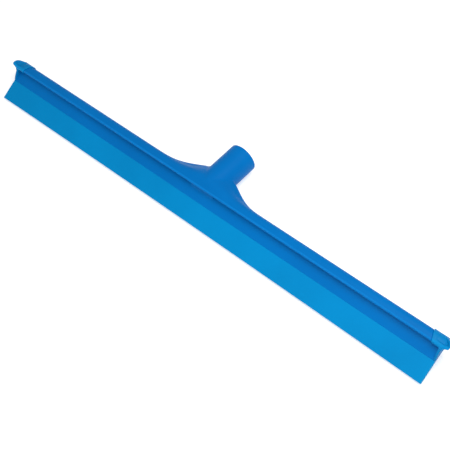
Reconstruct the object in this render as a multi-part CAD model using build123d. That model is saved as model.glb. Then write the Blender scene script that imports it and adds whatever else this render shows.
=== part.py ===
from build123d import *

import math
import os

# Floor squeegee head, lying on its back: a hard moulding with a handle socket, and a soft
# moulding that makes the wiping blade and a wall bumper at each end. The hard moulding is one
# piece on the real head; here it is divided where its form changes, into two beams, two neck
# flares and the socket, so that each is a simple shape.
#
# Axes: X runs along the blade, Y along the handle socket and out of its mouth, Z is up.
# The head rests on Z = 0. Sections are drawn in (s, h): s is the distance from the blade's
# edge along Y, and h is the height above the resting plane. All lengths are in millimetres.

# --- overall size ---
BLADE_LENGTH = 605.0          # along X, end to end of the blade
HEAD_DEPTH = 97.5             # blade edge to socket rim, along Y
HALF_LENGTH = BLADE_LENGTH / 2

# --- blade and the hard wall that carries it ---
BLADE_ANGLE = 28.6            # slope of the blade against the socket's axis, degrees
BLADE_THICK = 4.0
BLADE_EXPOSED = 24.8          # blade edge to the start of the hard wall, along the slope
HINGE_FROM_EDGE = 15.5        # blade edge to the line that the blade flexes about
HINGE_GAP = 0.15              # clearance of the round blade top in its groove
HINGE_WRAP = 65.0             # the groove holds this much of the round top each side, degrees
TIP_HEIGHT = BLADE_THICK * math.cos(math.radians(BLADE_ANGLE))

# --- beam section: channel wall, splash lip, rounded back ---
WALL_TOP = (34.4, 24.9)
WALL_TOP_SLOPE = 50.0         # degrees
LIP_CENTRE = (33.1, 28.0)
LIP_RADIUS = 2.2
LIP_FROM, LIP_TO = -75.0, -260.0   # the lip's arc, degrees, turning clockwise
TOP_FAR = [(37.2, 30.8), (40.7, 29.86), (43.26, 27.3), (44.2, 23.8)]
TOP_MID = [(40.0, 33.2), (52.0, 31.3), (62.0, 26.9), (68.2, 19.5)]
BACK_FAR = [(42.9, 19.9), (40.0, 18.3), (35.5, 17.3), (29.0, 14.9)]
BACK_MID = [(66.0, 16.4), (58.0, 15.5), (42.0, 15.5), (29.0, 14.9)]
FLARE_DIP = [(0.0, -0.8), (-0.6, -2.2), (-0.8, -2.8), (0.0, -1.0)]   # shoulders of the flares
OUTLINE_STEPS = (5, 3, 8, 9, 10)   # how finely the wall, corner, lip, top and back are followed

# --- neck flares ---
NECK_HALF_WIDTH = 80.0        # the flares run out into the beam here
NECK_POWER = 1.6              # how quickly they sweep in to the socket
NECK_STEPS = 8                # sections each side of the middle
FLARE_START = 19.0            # the flares end here, and the socket's own block begins

# --- handle socket ---
SOCKET_RADIUS = 17.0
SOCKET_AXIS_HEIGHT = 17.0
SOCKET_ROOT_TOP = [(41.0, 34.0), (35.0, 29.3)]     # ramp down to the lip, in (s, h)
SOCKET_ROOT_FRONT = [(30.0, 19.6), (26.5, 14.6)]   # inside the channel wall
SOCKET_ROOT_BACK = [(26.0, 12.9), (66.0, 0.0)]     # tapered underside
RIM_ROUND = 0.7
BORE_RADIUS = 11.0            # crest of the handle's thread
BORE_DEPTH = 48.0
BORE_LEAD_IN = 1.5

# --- soft bumpers on the two ends ---
SKIN_THICK = 2.2              # soft layer over the ends of the hard wall
WEB_BULGE = 0.7               # the end web's front edge bows forward by this much
WEB_INNER = (36.0, 22.0)      # a point inside the wall, where the web's outline turns back
SEAM_REAR = (285.0, 46.0)     # the bumper starts on this slanting line, as (x, s)
SEAM_FRONT = (291.5, 30.0)
BUMPER_PROUD = 0.9            # the bumper stands this far outside the beam's own section
BUMPER_FOOT = (38.6, 18.0)    # where the beam's section is divided from the wall, at its back
WING_REACH = 7.0              # how far the wing stands beyond the blade's end
WING_RISE = 1.9               # the wing turns up by this much on its way out
WING_THICK = 1.9              # left over the hollow's crown
WING_FILLET = 9.5             # hollow under the wing
WING_NOSE = 0.1               # share of the reach where the wing's front edge starts to round
WING_PLAN = [(32.2, 1.0), (35.0, 0.94), (38.6, 0.62), (42.7, -0.1)]   # (s, share of the reach)

BEAM_END = HALF_LENGTH - SKIN_THICK
UP_SLOPE = (math.cos(math.radians(BLADE_ANGLE)), math.sin(math.radians(BLADE_ANGLE)))
INWARD = (UP_SLOPE[1], -UP_SLOPE[0])      # from the blade's front face to its back face


def at(point):
    """A section point (s, h) in the sketch plane across X."""
    return (point[0] - HEAD_DEPTH / 2, point[1])


def on_blade(up, deep):
    """The section point that lies `up` the slope from the blade edge and `deep` under its front face."""
    return (
        up * UP_SLOPE[0] + deep * INWARD[0],
        TIP_HEIGHT + up * UP_SLOPE[1] + deep * INWARD[1],
    )


def round_point(centre, radius, degrees):
    angle = math.radians(degrees)
    return (centre[0] + radius * math.cos(angle), centre[1] + radius * math.sin(angle))


def across(x):
    """The sketch plane across the head at x."""
    return Plane(origin=(x, 0, 0), x_dir=(0, 1, 0), z_dir=(1, 0, 0))


def prism(face, x_from, x_to):
    """A section face, drawn across X at the origin, stretched from x_from to x_to."""
    return Pos(x_from, 0, 0) * extrude(face, x_to - x_from, dir=(1, 0, 0))


def section(edges, x=0.0):
    """A face from edges drawn in (s, h)."""
    return across(x) * make_face(Wire(edges))


def neck_share(x):
    """0 on the plain beam, rising to 1 in the middle of the neck."""
    if abs(x) >= NECK_HALF_WIDTH:
        return 0.0
    return (0.5 + 0.5 * math.cos(math.pi * x / NECK_HALF_WIDTH)) ** NECK_POWER


def between(far, mid, share):
    return [
        (a[0] + share * (b[0] - a[0]), a[1] + share * (b[1] - a[1]))
        for a, b in zip(far, mid)
    ]


def lip_arc(radius):
    """The splash lip's round edge, from its underside over the front to its top."""
    angles = (LIP_FROM, (LIP_FROM + LIP_TO) / 2, LIP_TO)
    return ThreePointArc(*[at(round_point(LIP_CENTRE, radius, a)) for a in angles])


def under_lip(radius):
    """The tight hollow corner between the channel wall and the lip."""
    start = WALL_TOP
    end = round_point(LIP_CENTRE, radius, LIP_FROM)
    middle = (max(start[0], end[0]) + 0.1, (start[1] + end[1]) / 2 + 0.1)
    return ThreePointArc(at(start), at(middle), at(end))


def channel_wall():
    """The scooped front wall, tangent to the blade's face where it starts."""
    top_slope = math.radians(WALL_TOP_SLOPE)
    return Spline(
        at(on_blade(BLADE_EXPOSED, 0)),
        at(WALL_TOP),
        tangents=[UP_SLOPE, (math.cos(top_slope), math.sin(top_slope))],
    )


def head_outline(x):
    """The hard moulding's outline at x: channel wall, lip, top and rear edge, and back."""
    share = neck_share(x)
    dip = 4 * share * (1 - share)
    top = [
        (s + dip * ds, h + dip * dh)
        for (s, h), (ds, dh) in zip(between(TOP_FAR, TOP_MID, share), FLARE_DIP)
    ]
    back = between(BACK_FAR, BACK_MID, share)
    lip_top = round_point(LIP_CENTRE, LIP_RADIUS, LIP_TO)
    leaving_lip = math.radians(LIP_TO - 90)
    over = Spline(
        at(lip_top),
        *[at(p) for p in top],
        tangents=[(math.cos(leaving_lip), math.sin(leaving_lip)), (0, -1)],
    )
    under = Spline(
        at(top[-1]),
        *[at(p) for p in back],
        at(on_blade(BLADE_EXPOSED, BLADE_THICK)),
        tangents=[(0, -1), (-UP_SLOPE[0], -UP_SLOPE[1])],
    )
    return [channel_wall(), under_lip(LIP_RADIUS), lip_arc(LIP_RADIUS), over, under]


def head_face(x):
    """The hard moulding's section at x, as one smooth line closed across the blade's root."""
    points = []
    for edge, steps in zip(head_outline(x), OUTLINE_STEPS):
        points += [edge @ (i / steps) for i in range(steps)]
    points.append(at(on_blade(BLADE_EXPOSED, BLADE_THICK)))
    smooth = Spline(*points, tangents=[UP_SLOPE, (-UP_SLOPE[0], -UP_SLOPE[1])])
    return section([smooth, Line(smooth @ 1, smooth @ 0)], x)


def beam_face():
    """The plain beam's section, drawn at the origin."""
    return Pos(-NECK_HALF_WIDTH, 0, 0) * head_face(NECK_HALF_WIDTH)


def wall_face():
    """Only the channel wall, which runs on past the end of the lip and the rounded back."""
    keep = section([
        Line(at(WALL_TOP), at(BUMPER_FOOT)),
        Line(at(BUMPER_FOOT), at((BUMPER_FOOT[0], 0))),
        Line(at((BUMPER_FOOT[0], 0)), at((0, 0))),
        Line(at((0, 0)), at((0, WALL_TOP[1]))),
        Line(at((0, WALL_TOP[1])), at(WALL_TOP)),
    ])
    return beam_face() & keep


def web_face():
    """The end web, which closes the channel's end from the blade's root up to the lip."""
    root = on_blade(BLADE_EXPOSED, 0)
    lip_front = (LIP_CENTRE[0] - LIP_RADIUS - BUMPER_PROUD, LIP_CENTRE[1])
    middle = ((root[0] + lip_front[0]) / 2 - WEB_BULGE, (root[1] + lip_front[1]) / 2)
    return section([
        ThreePointArc(at(root), at(middle), at(lip_front)),
        Line(at(lip_front), at(LIP_CENTRE)),
        Line(at(LIP_CENTRE), at(WEB_INNER)),
        Line(at(WEB_INNER), at(root)),
    ])


def bumper_face():
    """The soft bumper's section, a little larger than the beam's lip and back."""
    radius = LIP_RADIUS + BUMPER_PROUD
    centre = (TOP_FAR[0][0], TOP_FAR[-1][1])
    reach = TOP_FAR[-1][0] - centre[0] + BUMPER_PROUD
    lip_top = round_point(LIP_CENTRE, radius, LIP_TO)
    top = [round_point(centre, reach, a) for a in (90, 60, 30, 0)]
    heel = (BACK_FAR[0][0] + BUMPER_PROUD, BACK_FAR[0][1] - BUMPER_PROUD / 2)
    foot = (BUMPER_FOOT[0], BUMPER_FOOT[1] - BUMPER_PROUD)
    leaving_lip = math.radians(LIP_TO - 90)
    over = Spline(
        at(lip_top),
        *[at(p) for p in top],
        tangents=[(math.cos(leaving_lip), math.sin(leaving_lip)), (0, -1)],
    )
    under = Spline(at(top[-1]), at(heel), at(foot), tangents=[(0, -1), (-1, -0.1)])
    return section([
        under_lip(radius),
        lip_arc(radius),
        over,
        under,
        Line(at(foot), at(WALL_TOP)),
    ])


def past_seam():
    """Everything beyond the slanting line where the right bumper takes over from the beam."""
    far = HALF_LENGTH + 2 * WING_REACH
    corners = [SEAM_REAR, SEAM_FRONT, (far, SEAM_FRONT[1]), (far, SEAM_REAR[1])]
    points = [(x, at((s, 0))[0]) for x, s in corners]
    edges = [Line(a, b) for a, b in zip(points, points[1:] + points[:1])]
    return extrude(make_face(Wire(edges)), 2 * SOCKET_RADIUS)


def side_beam(side):
    """The straight beam on one side of the neck, with the bare wall running on to the end."""
    made = prism(beam_face(), NECK_HALF_WIDTH, SEAM_FRONT[0]) - past_seam()
    made += prism(wall_face(), NECK_HALF_WIDTH, BEAM_END)
    if side < 0:
        made = mirror(made, about=Plane.YZ)
    return made


def flared_beam():
    """The middle of the beam, which sweeps back on both sides of the socket."""
    step = NECK_HALF_WIDTH / NECK_STEPS
    return loft([head_face(step * i) for i in range(-NECK_STEPS, NECK_STEPS + 1)])


def block(x_from, x_to):
    """A block that holds everything between two places along X."""
    size = 2 * HEAD_DEPTH
    return Pos((x_from + x_to) / 2, 0, 0) * Box(x_to - x_from, size, size)


def flare(side):
    """One side of the neck."""
    near, far = sorted((side * FLARE_START, side * (NECK_HALF_WIDTH + 1)))
    return flared_beam() & block(near, far)


def handle_socket():
    """The round socket with the handle's hole, and the slice of the neck that it stands in."""
    made = flared_beam() & block(-FLARE_START, FLARE_START)
    made += socket_shell()
    for hole in socket_bore():
        made -= hole
    return made


def rim_plane():
    """The plane of the socket's mouth, facing into the socket."""
    return Plane(
        origin=(0, HEAD_DEPTH / 2, SOCKET_AXIS_HEIGHT), x_dir=(1, 0, 0), z_dir=(0, -1, 0)
    )


def socket_shell():
    """The round socket, whose root dies into the beam in front and tapers up to it behind."""
    rim = HEAD_DEPTH
    outline = (
        [(rim, 2 * SOCKET_RADIUS)]
        + SOCKET_ROOT_TOP
        + SOCKET_ROOT_FRONT
        + SOCKET_ROOT_BACK
        + [(rim, 0.0)]
    )
    side = section([
        Line(at(a), at(b))
        for a, b in zip(outline, outline[1:] + outline[:1])
    ])
    slab = prism(side, -SOCKET_RADIUS - 1, SOCKET_RADIUS + 1)
    tube = extrude(rim_plane() * Circle(SOCKET_RADIUS), HEAD_DEPTH)
    rim_edge = tube.edges().group_by(Axis.Y)[-1]
    tube = fillet(rim_edge, RIM_ROUND)
    return tube & slab


def socket_bore():
    """The handle's hole, with a lead-in at the mouth."""
    hole = extrude(rim_plane() * Circle(BORE_RADIUS), BORE_DEPTH)
    mouth = rim_plane() * Circle(BORE_RADIUS + BORE_LEAD_IN)
    throat = rim_plane().offset(BORE_LEAD_IN) * Circle(BORE_RADIUS)
    return [hole, loft([mouth, throat])]


def blade_root():
    """The soft strip on the wall's lower edge. Its own lower end is the groove that the blade turns in."""
    hinge = on_blade(HINGE_FROM_EDGE, BLADE_THICK / 2)
    groove = BLADE_THICK / 2 + HINGE_GAP
    lip_up = groove * math.cos(math.radians(HINGE_WRAP))
    lip_out = groove * math.sin(math.radians(HINGE_WRAP))
    middle = BLADE_THICK / 2
    low = HINGE_FROM_EDGE + lip_up
    points = [
        on_blade(low, middle - lip_out),
        on_blade(low, 0),
        on_blade(BLADE_EXPOSED, 0),
        on_blade(BLADE_EXPOSED, BLADE_THICK),
        on_blade(low, BLADE_THICK),
        on_blade(low, middle + lip_out),
    ]
    crown = (hinge[0] + groove * UP_SLOPE[0], hinge[1] + groove * UP_SLOPE[1])
    edges = [Line(at(a), at(b)) for a, b in zip(points, points[1:])]
    edges.append(ThreePointArc(at(points[-1]), at(crown), at(points[0])))
    return prism(section(edges), -HALF_LENGTH, HALF_LENGTH)


def blade():
    """The free part of the blade: a flat strip with a square edge and a round top."""
    middle = BLADE_THICK / 2
    front = [on_blade(HINGE_FROM_EDGE, 0), on_blade(0, 0)]
    back = [on_blade(0, BLADE_THICK), on_blade(HINGE_FROM_EDGE, BLADE_THICK)]
    crown = on_blade(HINGE_FROM_EDGE + middle, middle)
    edges = [
        Line(at(front[0]), at(front[1])),
        Line(at(front[1]), at(back[0])),
        Line(at(back[0]), at(back[1])),
        ThreePointArc(at(back[1]), at(crown), at(front[0])),
    ]
    return prism(section(edges), -HALF_LENGTH, HALF_LENGTH)


def wing_upright():
    """The wing seen along Y: open above, with a round hollow where it leaves the wall's end."""
    end = HALF_LENGTH
    tip = end + WING_FILLET
    roof = SOCKET_AXIS_HEIGHT + SOCKET_RADIUS
    crown = TOP_FAR[0][1] + BUMPER_PROUD + WING_RISE - WING_THICK
    low = crown - WING_FILLET
    hollow = round_point((tip, low), WING_FILLET, 135)
    edges = [
        Line((tip, roof), (end, roof)),
        Line((end, roof), (end, low)),
        ThreePointArc((end, low), hollow, (tip, crown)),
        Line((tip, crown), (tip, roof)),
    ]
    upright = Plane(origin=(0, HEAD_DEPTH / 2, 0), x_dir=(1, 0, 0), z_dir=(0, -1, 0))
    return extrude(upright * make_face(Wire(edges)), HEAD_DEPTH)


def end_bar():
    """What the wing is cut from: the bumper's section, climbing, and the wall's and web's."""
    start = Pos(HALF_LENGTH, 0, 0) * bumper_face()
    finish = Pos(HALF_LENGTH + WING_REACH, 0, WING_RISE) * bumper_face()
    flat = prism(wall_face() + web_face(), HALF_LENGTH, HALF_LENGTH + WING_REACH)
    return loft([start, finish], ruled=True) + flat


def wing_plan():
    """The wing seen from above: widest by the lip, and rounded away towards the back."""
    base = HALF_LENGTH - 1
    lip_front = LIP_CENTRE[0] - LIP_RADIUS - BUMPER_PROUD
    outer = [(HALF_LENGTH + WING_REACH * share, at((s, 0))[0]) for s, share in WING_PLAN]
    start = (base, at((lip_front, 0))[0] - 1)
    nose = (HALF_LENGTH + WING_REACH * WING_NOSE, start[1])
    back = (base, outer[-1][1])
    edges = [
        Line(start, nose),
        Spline(nose, *outer),
        Line(outer[-1], back),
        Line(back, start),
    ]
    return extrude(make_face(Wire(edges)), 2 * SOCKET_RADIUS)


def bumper(side):
    """One end's soft moulding: the cap over the beam's end, its wing, and the skin on the wall."""
    around = bumper_face() - wall_face()
    cap = prism(around, SEAM_REAR[0] - 1, HALF_LENGTH) & past_seam()
    skin = prism(wall_face() + web_face(), BEAM_END, HALF_LENGTH)
    made = cap + skin + (end_bar() & wing_upright() & wing_plan())
    if side < 0:
        made = mirror(made, about=Plane.YZ)
    return made


os.makedirs("parts", exist_ok=True)
export_step(side_beam(-1), "parts/left_beam.step")
export_step(side_beam(1), "parts/right_beam.step")
export_step(flare(-1), "parts/left_flare.step")
export_step(flare(1), "parts/right_flare.step")
export_step(handle_socket(), "parts/handle_socket.step")
export_step(blade_root(), "parts/blade_root.step")
export_step(blade(), "parts/blade.step")
export_step(bumper(-1), "parts/left_bumper.step")
export_step(bumper(1), "parts/right_bumper.step")
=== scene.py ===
import math

import bmesh
import bpy
import numpy as np
from mathutils import Matrix, Vector, kdtree


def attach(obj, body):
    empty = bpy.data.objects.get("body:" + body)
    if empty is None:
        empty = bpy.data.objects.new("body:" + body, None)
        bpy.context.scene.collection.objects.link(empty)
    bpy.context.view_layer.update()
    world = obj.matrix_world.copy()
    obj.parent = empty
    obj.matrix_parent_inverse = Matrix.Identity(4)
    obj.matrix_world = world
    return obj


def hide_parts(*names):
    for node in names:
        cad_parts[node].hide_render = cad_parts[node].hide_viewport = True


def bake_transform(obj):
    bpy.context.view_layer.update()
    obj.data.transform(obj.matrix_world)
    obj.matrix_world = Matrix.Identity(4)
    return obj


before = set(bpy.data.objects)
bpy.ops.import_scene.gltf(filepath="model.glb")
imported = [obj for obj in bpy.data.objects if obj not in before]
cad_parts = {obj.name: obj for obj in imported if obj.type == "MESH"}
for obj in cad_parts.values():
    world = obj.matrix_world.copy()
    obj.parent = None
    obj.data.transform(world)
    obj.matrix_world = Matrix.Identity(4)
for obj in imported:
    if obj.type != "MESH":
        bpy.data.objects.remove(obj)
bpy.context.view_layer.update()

# A floor squeegee head on its back, on a white surface. Lengths below are in millimetres and
# are turned into metres where a vertex is placed. Sections are drawn in (s, h): s is the
# distance from the blade's edge along Y, and h is the height above the floor.

MM = 0.001
HEAD_DEPTH = 97.5
HALF_LENGTH = 302.5

BLADE_ANGLE = math.radians(28.6)
BLADE_THICK = 4.0
BLADE_EXPOSED = 24.8          # height of the soft part up the slope
BLADE_ROUND = 0.6             # small rounding of the blade's long edges
BLADE_CHAMFER = 0.13          # middle step of the rounding at its two ends
BLADE_GRID = 1.0              # spacing of points across the blade's faces
BLADE_BOW = 1.0               # the free edge is drawn in by this much half way along
TIP_HEIGHT = BLADE_THICK * math.cos(BLADE_ANGLE)
UP_SLOPE = (math.cos(BLADE_ANGLE), math.sin(BLADE_ANGLE))
INWARD = (UP_SLOPE[1], -UP_SLOPE[0])

WALL_TOP = (34.4, 24.9)
WALL_TOP_SLOPE = math.radians(50)
LIP_CENTRE = (33.1, 28.0)
LIP_RADIUS = 2.2
LIP_FROM, LIP_TO = -75.0, -260.0
# The outline's top and back, as (s, h), on the plain beam (FAR) and in the neck's middle (MID),
# and what is added to the top half way up the flare (DIP).
TOP_FAR = [(37.2, 30.8), (40.7, 29.86), (43.26, 27.3), (44.2, 23.8)]
TOP_MID = [(40.0, 33.2), (52.0, 31.3), (62.0, 26.9), (68.2, 19.5)]
BACK_FAR = [(42.9, 19.9), (40.0, 18.3), (35.5, 17.3), (29.0, 14.9)]
BACK_MID = [(66.0, 16.4), (58.0, 15.5), (42.0, 15.5), (29.0, 14.9)]
FLARE_DIP = [(0.0, -0.8), (-0.6, -2.2), (-0.8, -2.8), (0.0, -1.0)]
SKIN_THICK = 2.2              # soft layer over the ends of the hard wall
SEAM_ROUND = 0.3              # rounding where the hard wall meets the soft blade
SEAM_REAR = (285.0, 46.0)     # the bumper starts on this slanting line, as (x, s)
SEAM_FRONT = (291.5, 30.0)
SEAM_GROOVE = 0.8             # depth and width of the groove along it
SEAM_PITCH = 0.5              # spacing of the mesh's sections there
SEAM_MARGIN = 2.0             # and how far the close sections run past it
GROOVE_LOW = 18.5             # the groove ends at this height at the back
END_PITCH = 0.4               # from the last section but one to the wall's end

WALL_POINTS = 14              # points along each run of the outline
CORNER_POINTS = 6
LIP_POINTS = 18
BACK_POINTS = 26
CORNER_BULGE = 0.1            # bow of the tight corner under the lip

NECK_HALF_WIDTH = 80.0
NECK_POWER = 1.6
NECK_PITCH = 1.25             # spacing of the mesh's sections along the neck
BEAM_PITCH = 5.0              # and along the straight beams

SOCKET_RADIUS = 17.0
SOCKET_AXIS = 17.0
# Where the socket's outer surface starts, as (s, h).
SOCKET_ROOT = [(66.0, 0.0), (26.0, 12.9), (26.5, 14.6), (30.0, 19.6), (35.0, 29.3), (41.0, 34.0)]
SOCKET_SIDES = 128
SOCKET_RINGS = 56
RIM_ROUND = 0.7
RIM_ARC = (10, 90)            # degrees of the rim's round edge
RIM_FLAT = [(0.0, 14.5), (0.0, 13.1), (0.15, 12.65), (0.6, 12.0)]   # (depth, radius) at the mouth
BORE_RADIUS = 11.0            # crest of the thread
BORE_DEPTH = 48.0
BORE_LEAD_IN = 1.5
BORE_FLOOR = (8.0, 4.0)       # radii of the rings that close the bore's end
THREAD_PITCH = 5.5
THREAD_DEPTH = 1.4
THREAD_END = 42.0             # depth from the rim where the thread runs out
THREAD_RINGS = 96
JUNCTION_WIDTH = 3.2          # the socket blends into the neck over this distance
JUNCTION_REACH = SOCKET_RADIUS + 4    # the junction lies within this of X = 0
JUNCTION_FRONT = 37.0         # and behind this s, or below the height on the next line
JUNCTION_UNDERSIDE = 12.0
JUNCTION_BEFORE_RIM = 20.0
JUNCTION_SOLID = 38.75        # in front of this s the socket has no bore inside
JUNCTION_BEND = math.radians(9)   # an edge this sharp belongs to the junction
JUNCTION_ROUNDS = 14          # of smoothing
JUNCTION_PULL = 0.6           # share of the way to its neighbours' mean that a vertex moves
WELD = 0.12                   # vertices this close are joined before smoothing

BUMPER_GRID = 0.3             # spacing of the bumper's mesh
BUMPER_SOFTEN = 8             # rounds of smoothing that round its edges
EAR_PLAN = [(32.2, 1.0), (35.0, 0.94), (38.6, 0.62), (42.7, -0.1)]   # (s, share of the reach)
EAR_REACH = 7.0               # the ear stands this far beyond the blade's end
EAR_ROOT = 288.0              # the raised rim ends here
EAR_RIM = 1.2                 # width of the rim
EAR_SLOPE = 2.0               # width of the slope inside it
EAR_HOLLOW = 2.0              # depth of the hollow on top of the ear
EAR_FRONT = 31.5              # the hollow starts behind the lip's crest, which is here
EAR_REAR = 45.1               # the bumper's rear edge
EAR_LOW = 27.0                # nothing below this height is pressed down
EAR_FACING = 0.5              # nor any surface whose normal has less than this along Z
EAR_FACING_SPAN = 0.35        # over which the pressing comes in
EAR_FADE_POWER = 0.7
EAR_SPAN = 9.0                # the hollow fades out this far in from the blade's end

GLOSS_SPREAD = 0.05           # how much the roughness varies either way
GRAIN_DEPTH = 0.1             # of the fine texture on all the plastic
CREST_FULL = -17.1            # the lip's crest gets its full painted highlight in front of this Y
CREST_NONE = -15.7            # and has its plain colour behind this Y
CREST_FLOOR = 26.5            # nothing below this height is part of the crest

CAMERA_AT = Vector((0.50304, -0.41875, 0.81794))     # metres
CAMERA_TARGET = Vector((0.04614, -0.03212, 0.017))
CAMERA_ROLL = math.radians(-9.49)
CAMERA_LENS = 77.16
CAMERA_SHIFT = 0.001
FLOOR_HALF = 40.0             # metres
FLOOR_GREY = (0.7, 0.7, 0.7, 1)
FLOOR_GLOW = 0.5
SKY_SIDES = 0.32
SKY_OVERHEAD = 0.62


def place(x, s, h):
    """A vertex in metres, in the frame's axes, from section measures in millimetres."""
    return Vector((x, s - HEAD_DEPTH / 2, h)) * MM


def on_blade(up, deep):
    """The section point that lies `up` the slope from the edge and `deep` under the front face."""
    return (
        up * UP_SLOPE[0] + deep * INWARD[0],
        TIP_HEIGHT + up * UP_SLOPE[1] + deep * INWARD[1],
    )


def round_point(centre, radius, degrees):
    angle = math.radians(degrees)
    return (centre[0] + radius * math.cos(angle), centre[1] + radius * math.sin(angle))


def arc(centre, radius, first, last, count):
    """Points on an arc, both ends included."""
    return [
        round_point(centre, radius, first + (last - first) * i / (count - 1))
        for i in range(count)
    ]


def smooth_line(points, first, last, count):
    """`count` points along a smooth cubic through `points` that leaves along `first` and
    arrives along `last`, both unit directions."""
    points = np.array(points, float)
    gaps = np.linalg.norm(np.diff(points, axis=0), axis=1)
    size = len(points)
    system = np.zeros((size, size))
    wanted = np.zeros((size, 2))
    system[0, 0] = system[-1, -1] = 1
    wanted[0], wanted[-1] = first, last
    for i in range(1, size - 1):
        before, after = gaps[i - 1], gaps[i]
        system[i, i - 1:i + 2] = (1 / before, 2 / before + 2 / after, 1 / after)
        wanted[i] = 3 * (
            (points[i] - points[i - 1]) / before ** 2 + (points[i + 1] - points[i]) / after ** 2
        )
    slopes = np.linalg.solve(system, wanted)
    knots = np.concatenate([[0], np.cumsum(gaps)])
    line = []
    for t in np.linspace(0, knots[-1], count):
        i = min(int(np.searchsorted(knots, t, side="right")) - 1, size - 2)
        u = (t - knots[i]) / gaps[i]
        line.append(
            (1 + 2 * u) * (1 - u) ** 2 * points[i]
            + u * (1 - u) ** 2 * gaps[i] * slopes[i]
            + u * u * (3 - 2 * u) * points[i + 1]
            + u * u * (u - 1) * gaps[i] * slopes[i + 1]
        )
    return [tuple(point) for point in line]


def neck_share(x):
    """0 on the plain beam, rising to 1 in the middle of the neck."""
    if abs(x) >= NECK_HALF_WIDTH:
        return 0.0
    return (0.5 + 0.5 * math.cos(math.pi * x / NECK_HALF_WIDTH)) ** NECK_POWER


def between(far, mid, share):
    return [
        (a[0] + share * (b[0] - a[0]), a[1] + share * (b[1] - a[1]))
        for a, b in zip(far, mid)
    ]


def corner_arc(start, end, bulge, count):
    """A hollow corner from start to end, bowed by `bulge` at its middle."""
    middle = (max(start[0], end[0]) + bulge, (start[1] + end[1]) / 2 + bulge)
    line = []
    for i in range(count):
        u = i / (count - 1)
        line.append(tuple(
            (1 - u) * (1 - 2 * u) * a + 4 * u * (1 - u) * m + u * (2 * u - 1) * b
            for a, m, b in zip(start, middle, end)
        ))
    return line


def head_outline(x):
    """The hard moulding's closed outline at x, from the blade's root over the lip and back."""
    share = neck_share(x)
    dip = 4 * share * (1 - share)
    top = [
        (s + dip * ds, h + dip * dh)
        for (s, h), (ds, dh) in zip(between(TOP_FAR, TOP_MID, share), FLARE_DIP)
    ]
    back = between(BACK_FAR, BACK_MID, share)
    slope = (math.cos(WALL_TOP_SLOPE), math.sin(WALL_TOP_SLOPE))
    foot = on_blade(BLADE_EXPOSED, SEAM_ROUND)
    wall = smooth_line(
        [on_blade(BLADE_EXPOSED + SEAM_ROUND, 0), WALL_TOP], UP_SLOPE, slope, WALL_POINTS
    )
    lip = arc(LIP_CENTRE, LIP_RADIUS, LIP_FROM, LIP_TO, LIP_POINTS)
    corner = corner_arc(WALL_TOP, lip[0], CORNER_BULGE, CORNER_POINTS)
    leaving = math.radians(LIP_TO - 90)
    over = smooth_line(
        [lip[-1]] + top, (math.cos(leaving), math.sin(leaving)), (0, -1), BACK_POINTS
    )
    heel = on_blade(BLADE_EXPOSED, BLADE_THICK)
    down_slope = (-UP_SLOPE[0], -UP_SLOPE[1])
    under = smooth_line([top[-1]] + back + [heel], (0, -1), down_slope, BACK_POINTS)
    return [foot] + wall + corner[1:] + lip[1:] + over[1:] + under[1:]


def new_piece(name, verts, faces):
    mesh = bpy.data.meshes.new(name)
    mesh.from_pydata(verts, [], faces)
    mesh.validate()
    piece = bpy.data.objects.new(name, mesh)
    bpy.context.scene.collection.objects.link(piece)
    return piece


def ring_faces(rings, count):
    """Quads between successive closed rings of `count` vertices, and a cap on each end."""
    faces = []
    for i in range(rings - 1):
        for j in range(count):
            k = (j + 1) % count
            faces.append((i * count + j, i * count + k, (i + 1) * count + k, (i + 1) * count + j))
    faces.append(tuple(reversed(range(count))))
    faces.append(tuple(range((rings - 1) * count, rings * count)))
    return faces


def outward(piece):
    """Turns every face of a closed mesh outward."""
    work = bmesh.new()
    work.from_mesh(piece.data)
    bmesh.ops.recalc_face_normals(work, faces=work.faces)
    work.to_mesh(piece.data)
    work.free()


def sections_along(first, last, pitch):
    return list(np.linspace(first, last, round((last - first) / pitch) + 1))


def groove_seam(x, outline):
    """Sinks the lip, top and rear of an outline where x is at the seam or under the bumper."""
    sunk = []
    for (s, h), (s_before, h_before), (s_after, h_after) in zip(
        outline, outline[-1:] + outline[:-1], outline[1:] + outline[:1]
    ):
        along = (s - SEAM_FRONT[1]) / (SEAM_REAR[1] - SEAM_FRONT[1])
        seam = SEAM_FRONT[0] + along * (SEAM_REAR[0] - SEAM_FRONT[0])
        share = min(max(1 + (abs(x) - seam) / SEAM_GROOVE, 0.0), 1.0)
        on_wall = h < WALL_TOP[1] - 0.5 and s < WALL_TOP[0] + 1
        if share == 0.0 or on_wall or h < GROOVE_LOW:
            sunk.append((s, h))
            continue
        run = (s_after - s_before, h_after - h_before)
        depth = SEAM_GROOVE * share * share / math.hypot(*run)
        sunk.append((s + run[1] * depth, h - run[0] * depth))
    return sunk


def beam_mesh():
    """The whole beam with its neck flares, swept as sections along X."""
    end = HALF_LENGTH - SKIN_THICK
    right = (
        sections_along(NECK_HALF_WIDTH, SEAM_REAR[0] - SEAM_MARGIN, BEAM_PITCH)[1:]
        + sections_along(SEAM_REAR[0] - SEAM_MARGIN, SEAM_FRONT[0] + SEAM_MARGIN, SEAM_PITCH)[1:]
        + [end - END_PITCH, end]
    )
    middle = sections_along(-NECK_HALF_WIDTH, NECK_HALF_WIDTH, NECK_PITCH)
    places = [-x for x in reversed(right)] + middle + right
    verts = []
    for x in places:
        outline = groove_seam(x, head_outline(x))
        verts += [place(x, s, h) for s, h in outline]
    beam = new_piece("beam_body", verts, ring_faces(len(places), len(outline)))
    outward(beam)
    return beam


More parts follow.
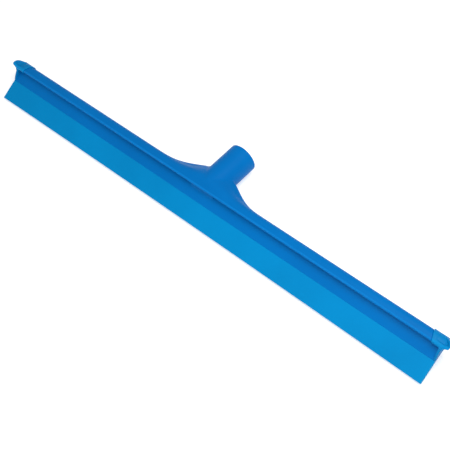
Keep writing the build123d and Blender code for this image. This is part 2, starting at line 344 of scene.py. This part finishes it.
def thread_radius(depth, turn):
    """The bore's radius at a depth from the rim and a share of a turn: a coarse round-cornered
    thread that fades in at the mouth and out before the bottom."""
    phase = (depth / THREAD_PITCH - turn) % 1.0
    swell = 0.5 - 0.5 * math.cos(2 * math.pi * phase)
    groove = min(max((swell - 0.25) / 0.5, 0.0), 1.0)
    groove = groove * groove * (3 - 2 * groove)
    fade_in = min(max((depth - BORE_LEAD_IN) / THREAD_PITCH, 0.0), 1.0)
    fade_out = min(max((THREAD_END - depth) / THREAD_PITCH, 0.0), 1.0)
    return BORE_RADIUS + THREAD_DEPTH * groove * min(fade_in, fade_out)


def root_start(h):
    """Where the socket's outer surface starts, at height h: it is cut to a ramp in front and
    a taper behind, so that its root dies into the neck."""
    corners = sorted(SOCKET_ROOT, key=lambda corner: corner[1])
    return float(np.interp(h, [c[1] for c in corners], [c[0] for c in corners]))


def socket_mesh():
    """The handle socket as one closed turned shape, with its thread cut in the bore."""
    rings = []
    turns = [j / SOCKET_SIDES for j in range(SOCKET_SIDES)]
    directions = [(math.cos(2 * math.pi * t), math.sin(2 * math.pi * t)) for t in turns]
    shoulder = HEAD_DEPTH - RIM_ROUND
    for i in range(SOCKET_RINGS + 1):
        share = i / SOCKET_RINGS
        ring = []
        for cx, cz in directions:
            h = SOCKET_AXIS + SOCKET_RADIUS * cz
            start = root_start(h)
            ring.append(place(SOCKET_RADIUS * cx, start + share * (shoulder - start), h))
        rings.append(ring)
    profile = [
        (s, SOCKET_RADIUS - RIM_ROUND + r)
        for r, s in arc((0.0, shoulder), RIM_ROUND, *RIM_ARC, 7)
    ]
    profile += [(HEAD_DEPTH - depth, radius) for depth, radius in RIM_FLAT]
    for s, radius in profile:
        rings.append([
            place(radius * cx, s, SOCKET_AXIS + radius * cz) for cx, cz in directions
        ])
    for i in range(THREAD_RINGS + 1):
        depth = BORE_LEAD_IN + (BORE_DEPTH - BORE_LEAD_IN) * i / THREAD_RINGS
        ring = []
        for t, (cx, cz) in zip(turns, directions):
            radius = thread_radius(depth, t)
            ring.append(place(radius * cx, HEAD_DEPTH - depth, SOCKET_AXIS + radius * cz))
        rings.append(ring)
    for radius in BORE_FLOOR:
        rings.append([
            place(radius * cx, HEAD_DEPTH - BORE_DEPTH, SOCKET_AXIS + radius * cz)
            for cx, cz in directions
        ])
    verts = [v for ring in rings for v in ring]
    faces = ring_faces(len(rings), SOCKET_SIDES)
    faces.pop(-2)
    faces += root_cap()
    socket = new_piece("socket_body", verts, faces)
    outward(socket)
    return socket


def root_cap():
    """Strips across the socket's hidden root, from each side to the other at the same height."""
    half = SOCKET_SIDES // 2
    quarter = SOCKET_SIDES // 4
    faces = []
    for j in range(-quarter, quarter):
        right, above = j % SOCKET_SIDES, (j + 1) % SOCKET_SIDES
        left, left_above = (half - j) % SOCKET_SIDES, (half - j - 1) % SOCKET_SIDES
        corners = []
        for corner in (right, above, left_above, left):
            if corner not in corners:
                corners.append(corner)
        faces.append(tuple(corners))
    return faces


def bore_cutter():
    """A plain round bar that clears the neck's material from inside the socket's wall."""
    radius = (SOCKET_RADIUS + BORE_RADIUS + THREAD_DEPTH) / 2
    verts = []
    for s in (HEAD_DEPTH - BORE_DEPTH - 1.0, HEAD_DEPTH + 5.0):
        for j in range(SOCKET_SIDES):
            angle = 2 * math.pi * j / SOCKET_SIDES
            verts.append(place(
                radius * math.cos(angle), s, SOCKET_AXIS + radius * math.sin(angle)
            ))
    cutter = new_piece("bore_cutter", verts, ring_faces(2, SOCKET_SIDES))
    outward(cutter)
    return cutter


def combine(piece, other, how):
    """Joins or cuts `piece` with `other`, and removes `other`."""
    modifier = piece.modifiers.new(how.lower(), "BOOLEAN")
    modifier.operation = how
    modifier.solver = "EXACT"
    modifier.object = other
    apply_modifiers(piece)
    bpy.data.objects.remove(other)


def apply_modifiers(piece):
    bpy.context.view_layer.update()
    evaluated = piece.evaluated_get(bpy.context.evaluated_depsgraph_get())
    mesh = bpy.data.meshes.new_from_object(evaluated)
    piece.modifiers.clear()
    piece.data = mesh


def on_junction(edge):
    """Whether an edge lies on the sharp line where the socket's outside meets the neck."""
    middle = (edge.verts[0].co + edge.verts[1].co) / 2 / MM
    s = middle.y + HEAD_DEPTH / 2
    axis_distance = math.hypot(middle.x, middle.z - SOCKET_AXIS)
    outside = axis_distance > SOCKET_RADIUS - 3 or s < JUNCTION_SOLID
    behind_lip = s > JUNCTION_FRONT or middle.z < JUNCTION_UNDERSIDE
    near = abs(middle.x) < JUNCTION_REACH and s < HEAD_DEPTH - JUNCTION_BEFORE_RIM
    if not (near and outside and behind_lip) or len(edge.link_faces) != 2:
        return False
    return edge.calc_face_angle() > JUNCTION_BEND


def soften_junction(piece):
    """Turns the hard corner where the socket meets the neck into a soft one."""
    work = bmesh.new()
    work.from_mesh(piece.data)
    bmesh.ops.remove_doubles(work, verts=work.verts, dist=WELD * MM)
    bmesh.ops.triangulate(work, faces=[face for face in work.faces if len(face.verts) > 4])
    work.normal_update()
    seam = [
        (edge.verts[0].co + edge.verts[1].co) / 2
        for edge in work.edges
        if on_junction(edge)
    ]
    tree = kdtree.KDTree(len(seam))
    for i, point in enumerate(seam):
        tree.insert(point, i)
    tree.balance()
    moving = []
    for vert in work.verts:
        if abs(vert.co.x) > JUNCTION_REACH * MM:
            continue
        distance = tree.find(vert.co)[2]
        if distance < JUNCTION_WIDTH * MM:
            moving.append((vert, 1 - distance / (JUNCTION_WIDTH * MM)))
    for _ in range(JUNCTION_ROUNDS):
        targets = []
        for vert, share in moving:
            around = [edge.other_vert(vert).co for edge in vert.link_edges]
            mean = sum(around, Vector()) / len(around)
            targets.append(vert.co.lerp(mean, JUNCTION_PULL * share))
        for (vert, _share), target in zip(moving, targets):
            vert.co = target
    bmesh.ops.recalc_face_normals(work, faces=work.faces)
    work.to_mesh(piece.data)
    work.free()


def shade(piece, sharp_degrees):
    piece.data.shade_smooth()
    piece.data.set_sharp_from_angle(angle=math.radians(sharp_degrees))


def finish_piece(piece, name, material, slot, body, *nodes):
    """Names and paints a finished piece, ties it to its body, and hides the nodes it stands for.
    """
    piece.name = name
    piece.data.name = name
    piece.data.materials.clear()
    piece.data.materials.append(material)
    if body:
        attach(piece, body)
    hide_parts(*nodes)


def make_head(material):
    head = beam_mesh()
    combine(head, bore_cutter(), "DIFFERENCE")
    combine(head, socket_mesh(), "UNION")
    soften_junction(head)
    shade(head, 40)
    finish_piece(
        head, "head_moulding", material, "hard_plastic", "head",
        "left_beam", "left_flare", "handle_socket", "right_flare", "right_beam",
    )


def blade_outline():
    """The blade's section, edge and root as one strip with small rounded corners."""
    r = BLADE_ROUND
    corners = []
    for up, deep, first in (
        (r, r, 90), (r, BLADE_THICK - r, 180),
        (BLADE_EXPOSED - SEAM_ROUND, BLADE_THICK - SEAM_ROUND, 270),
        (BLADE_EXPOSED - SEAM_ROUND, SEAM_ROUND, 0),
    ):
        radius = r if up == r else SEAM_ROUND
        for i in range(5):
            angle = math.radians(first + 22.5 * i)
            corners.append((up + radius * math.cos(angle), deep - radius * math.sin(angle)))
    return corners


def blade_rings():
    """The outline with extra points along its two faces, so that it can bend."""
    corners = blade_outline()
    outline = []
    for a, b in zip(corners, corners[1:] + corners[:1]):
        steps = max(1, round(math.dist(a, b) / BLADE_GRID))
        outline += [
            (a[0] + (b[0] - a[0]) * i / steps, a[1] + (b[1] - a[1]) * i / steps)
            for i in range(steps)
        ]
    return outline


def make_blade(material):
    outline = blade_rings()
    end = HALF_LENGTH
    r = BLADE_ROUND
    stations = [(-end, r), (-end + BLADE_CHAMFER, BLADE_CHAMFER), (-end + r, 0)]
    stations += [(x, 0) for x in sections_along(-end + r, end - r, BEAM_PITCH)[1:-1]]
    stations += [(end - r, 0), (end - BLADE_CHAMFER, BLADE_CHAMFER), (end, r)]
    verts = []
    for x, inset in stations:
        bow = BLADE_BOW * (1 - (x / HALF_LENGTH) ** 2)
        for up, deep in outline:
            up = min(max(up, inset), BLADE_EXPOSED - inset)
            deep = min(max(deep, inset), BLADE_THICK - inset)
            drawn = bow * max(0.0, 1 - up / BLADE_EXPOSED) ** 2
            s, h = on_blade(up + drawn, deep)
            verts.append(place(x, s, h))
    blade = new_piece("blade_body", verts, ring_faces(len(stations), len(outline)))
    outward(blade)
    shade(blade, 50)
    finish_piece(blade, "wiping_blade", material, "soft_rubber", None, "blade", "blade_root")
    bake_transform(blade)


def ear_outline(side):
    """The bumper's raised edges seen from above, from the lip's crest round to the rear."""
    curve = [(EAR_ROOT, EAR_FRONT), (HALF_LENGTH, EAR_FRONT)]
    curve += [(HALF_LENGTH + share * EAR_REACH, s) for s, share in EAR_PLAN]
    curve += [(HALF_LENGTH - 1.0, EAR_REAR), (EAR_ROOT, EAR_REAR)]
    return [place(side * x, s, 0).xy for x, s in curve]


def distance_to_line(point, line):
    """The shortest distance from a point to a chain of straight runs, seen from above."""
    best = 1.0
    for a, b in zip(line, line[1:]):
        run = b - a
        share = min(max((point - a).dot(run) / run.length_squared, 0.0), 1.0)
        best = min(best, (point - a - run * share).length)
    return best


def hollow_top(piece, side):
    """Presses the middle of the ear's top down and leaves a raised rim along its free edges."""
    line = ear_outline(side)
    rim = EAR_RIM * MM
    for vert, normal in zip(piece.data.vertices, piece.data.vertex_normals):
        inward = HALF_LENGTH * MM - abs(vert.co.x)
        if normal.vector.z < EAR_FACING or vert.co.z < EAR_LOW * MM or inward > EAR_SPAN * MM:
            continue
        inside = (distance_to_line(vert.co.xy, line) - rim) / (EAR_SLOPE * MM)
        inside = min(max(inside, 0.0), 1.0)
        fade = min(max((EAR_SPAN * MM - inward) / (EAR_SPAN * MM), 0.0), 1.0)
        depth = EAR_HOLLOW * MM * inside * inside * (3 - 2 * inside) * fade ** EAR_FADE_POWER
        facing = min(1.0, (normal.vector.z - EAR_FACING) / EAR_FACING_SPAN)
        vert.co.z -= depth * facing


def make_bumper(node, side, material):
    """The soft bumper, remeshed from its solid so that every edge is rounded, with the ear on
    its outer end hollowed a little on top."""
    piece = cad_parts[node].copy()
    piece.data = piece.data.copy()
    piece.parent = None
    bpy.context.scene.collection.objects.link(piece)
    piece.hide_render = piece.hide_viewport = False
    remesh = piece.modifiers.new("even", "REMESH")
    remesh.mode = "VOXEL"
    remesh.voxel_size = BUMPER_GRID * MM
    soft = piece.modifiers.new("soft", "SMOOTH")
    soft.factor = 0.5
    soft.iterations = BUMPER_SOFTEN
    apply_modifiers(piece)
    hollow_top(piece, side)
    piece.data.shade_smooth()
    finish_piece(piece, node + "_moulding", material, "soft_rubber", "head", node)


def shader_nodes(name):
    material = bpy.data.materials.new(name)
    material.use_nodes = True
    tree = material.node_tree
    return material, tree, tree.nodes["Principled BSDF"]


def noise(tree, where, scale, detail):
    node = tree.nodes.new("ShaderNodeTexNoise")
    node.inputs["Scale"].default_value = scale
    node.inputs["Detail"].default_value = detail
    tree.links.new(where.outputs["Object"], node.inputs["Vector"])
    return node


def spread(tree, source, low, high):
    """Maps a noise to a range."""
    node = tree.nodes.new("ShaderNodeMapRange")
    node.inputs["From Min"].default_value = 0.3
    node.inputs["From Max"].default_value = 0.7
    node.inputs["To Min"].default_value = low
    node.inputs["To Max"].default_value = high
    tree.links.new(source.outputs["Fac"], node.inputs["Value"])
    return node


def ramp(tree, source, full, none):
    """1 where the source's value is at `full`, fading to 0 at `none`."""
    node = tree.nodes.new("ShaderNodeMapRange")
    node.interpolation_type = "SMOOTHSTEP"
    node.inputs["From Min"].default_value = none
    node.inputs["From Max"].default_value = full
    tree.links.new(source, node.inputs["Value"])
    return node.outputs["Result"]


def product(tree, first, second):
    node = tree.nodes.new("ShaderNodeMath")
    node.operation = "MULTIPLY"
    tree.links.new(first, node.inputs[0])
    tree.links.new(second, node.inputs[1])
    return node.outputs["Value"]


def painted_crest_highlight(tree, where, highlight_share):
    """The share of painted highlight on convex edges, raised to 1 along the splash lip's crest,
    which gets a painted highlight.
    """
    parts = tree.nodes.new("ShaderNodeSeparateXYZ")
    tree.links.new(where.outputs["Object"], parts.inputs["Vector"])
    # A thin band along the lip's crest is painted pale: a painted highlight.
    front = ramp(tree, parts.outputs["Y"], CREST_FULL * MM, CREST_NONE * MM)
    above = ramp(tree, parts.outputs["Z"], CREST_FLOOR * MM + MM, CREST_FLOOR * MM)
    crest = product(tree, front, above)
    either = tree.nodes.new("ShaderNodeMath")
    either.operation = "MAXIMUM"
    tree.links.new(crest, either.inputs[0])
    tree.links.new(highlight_share, either.inputs[1])
    return either.outputs["Value"]


def moulded_plastic(name, deep, bright, edge, shine, specular, grain):
    """Moulded plastic: slow colour drift through the resin, convex edges and the splash lip's
    crest painted paler as a painted highlight, a fine grain, and a satin surface whose gloss
    varies."""
    material, tree, shader = shader_nodes(name)
    where = tree.nodes.new("ShaderNodeTexCoord")
    drift = noise(tree, where, scale=14, detail=3)
    resin = tree.nodes.new("ShaderNodeValToRGB")
    resin.color_ramp.elements[0].position = 0.35
    resin.color_ramp.elements[0].color = (*deep, 1)
    resin.color_ramp.elements[1].position = 0.65
    resin.color_ramp.elements[1].color = (*bright, 1)
    tree.links.new(drift.outputs["Fac"], resin.inputs["Fac"])
    geometry = tree.nodes.new("ShaderNodeNewGeometry")
    # Convex edges are painted paler by their pointiness: a painted highlight along the edges.
    edge_highlight = tree.nodes.new("ShaderNodeMapRange")
    edge_highlight.inputs["From Min"].default_value = 0.51
    edge_highlight.inputs["From Max"].default_value = 0.58
    edge_highlight.inputs["To Max"].default_value = 0.6
    tree.links.new(geometry.outputs["Pointiness"], edge_highlight.inputs["Value"])
    paler = tree.nodes.new("ShaderNodeMix")
    paler.data_type = "RGBA"
    paler.inputs["B"].default_value = (*edge, 1)
    highlight_share = painted_crest_highlight(tree, where, edge_highlight.outputs["Result"])
    tree.links.new(highlight_share, paler.inputs["Factor"])
    tree.links.new(resin.outputs["Color"], paler.inputs["A"])
    tree.links.new(paler.outputs["Result"], shader.inputs["Base Color"])
    patches = noise(tree, where, scale=60, detail=4)
    gloss = spread(tree, patches, shine - GLOSS_SPREAD, shine + GLOSS_SPREAD)
    tree.links.new(gloss.outputs["Result"], shader.inputs["Roughness"])
    texture = noise(tree, where, scale=1800, detail=2)
    bump = tree.nodes.new("ShaderNodeBump")
    bump.inputs["Strength"].default_value = grain
    bump.inputs["Distance"].default_value = GRAIN_DEPTH * MM
    tree.links.new(texture.outputs["Fac"], bump.inputs["Height"])
    tree.links.new(bump.outputs["Normal"], shader.inputs["Normal"])
    shader.inputs["Specular IOR Level"].default_value = specular
    return material


def add_camera():
    camera = bpy.data.objects.new("camera", bpy.data.cameras.new("camera"))
    camera.data.lens = CAMERA_LENS
    camera.data.sensor_width = 36
    camera.data.shift_y = CAMERA_SHIFT
    turn = (CAMERA_TARGET - CAMERA_AT).to_track_quat("-Z", "Y").to_matrix()
    roll = Matrix.Rotation(CAMERA_ROLL, 3, "Z")
    camera.matrix_world = Matrix.Translation(CAMERA_AT) @ (turn @ roll).to_4x4()
    bpy.context.scene.collection.objects.link(camera)
    bpy.context.scene.camera = camera


def add_area(name, location, size, power):
    light = bpy.data.lights.new(name, "AREA")
    light.size = size
    light.energy = power
    lamp = bpy.data.objects.new(name, light)
    lamp.location = location
    lamp.rotation_euler = (-Vector(location)).to_track_quat("-Z", "Y").to_euler()
    bpy.context.scene.collection.objects.link(lamp)


def add_floor():
    corners = [
        (sx * FLOOR_HALF, sy * FLOOR_HALF, 0) for sx, sy in ((-1, -1), (1, -1), (1, 1), (-1, 1))
    ]
    floor = new_piece("floor", [Vector(c) for c in corners], [(0, 1, 2, 3)])
    material, _tree, shader = shader_nodes("white_floor")
    shader.inputs["Base Color"].default_value = FLOOR_GREY
    shader.inputs["Roughness"].default_value = 0.9
    shader.inputs["Specular IOR Level"].default_value = 0.1
    shader.inputs["Emission Color"].default_value = (1, 1, 1, 1)
    shader.inputs["Emission Strength"].default_value = FLOOR_GLOW
    floor.data.materials.append(material)


def add_world():
    """Soft light all round, brighter from overhead than from the sides."""
    world = bpy.data.worlds.new("studio")
    world.use_nodes = True
    tree = world.node_tree
    where = tree.nodes.new("ShaderNodeTexCoord")
    parts = tree.nodes.new("ShaderNodeSeparateXYZ")
    tree.links.new(where.outputs["Generated"], parts.inputs["Vector"])
    height = tree.nodes.new("ShaderNodeMapRange")
    height.inputs["From Min"].default_value = 0.0
    height.inputs["From Max"].default_value = 1.0
    height.inputs["To Min"].default_value = SKY_SIDES
    height.inputs["To Max"].default_value = SKY_OVERHEAD
    tree.links.new(parts.outputs["Z"], height.inputs["Value"])
    tree.links.new(height.outputs["Result"], tree.nodes["Background"].inputs["Strength"])
    tree.nodes["Background"].inputs["Color"].default_value = (1, 1, 1, 1)
    bpy.context.scene.world = world


# Each edge colour is the colour of the painted highlight on convex edges and the lip's crest.
HARD = moulded_plastic(
    "satin_blue_polypropylene", deep=(0.0, 0.137, 0.43), bright=(0.0, 0.150, 0.465),
    edge=(0.002, 0.185, 0.55), shine=0.36, specular=0.05, grain=0.12,
)
SOFT = moulded_plastic(
    "matt_blue_rubber", deep=(0.0, 0.213, 0.50), bright=(0.0, 0.233, 0.54),
    edge=(0.0, 0.29, 0.60), shine=0.5, specular=0.05, grain=0.1,
)
BUMPER = moulded_plastic(
    "matt_blue_bumper_rubber", deep=(0.0, 0.180, 0.455), bright=(0.0, 0.196, 0.49),
    edge=(0.0, 0.235, 0.565), shine=0.45, specular=0.08, grain=0.1,
)

add_world()
add_floor()
add_area("key", (0.32, 0.02, 0.78), 0.5, 4.9)
add_area("front", (0.1, -0.9, 0.55), 0.6, 1.6)
make_head(HARD)
make_blade(SOFT)
make_bumper("left_bumper", -1, BUMPER)
make_bumper("right_bumper", 1, BUMPER)
add_camera()
bpy.context.scene.view_settings.view_transform = "Standard"
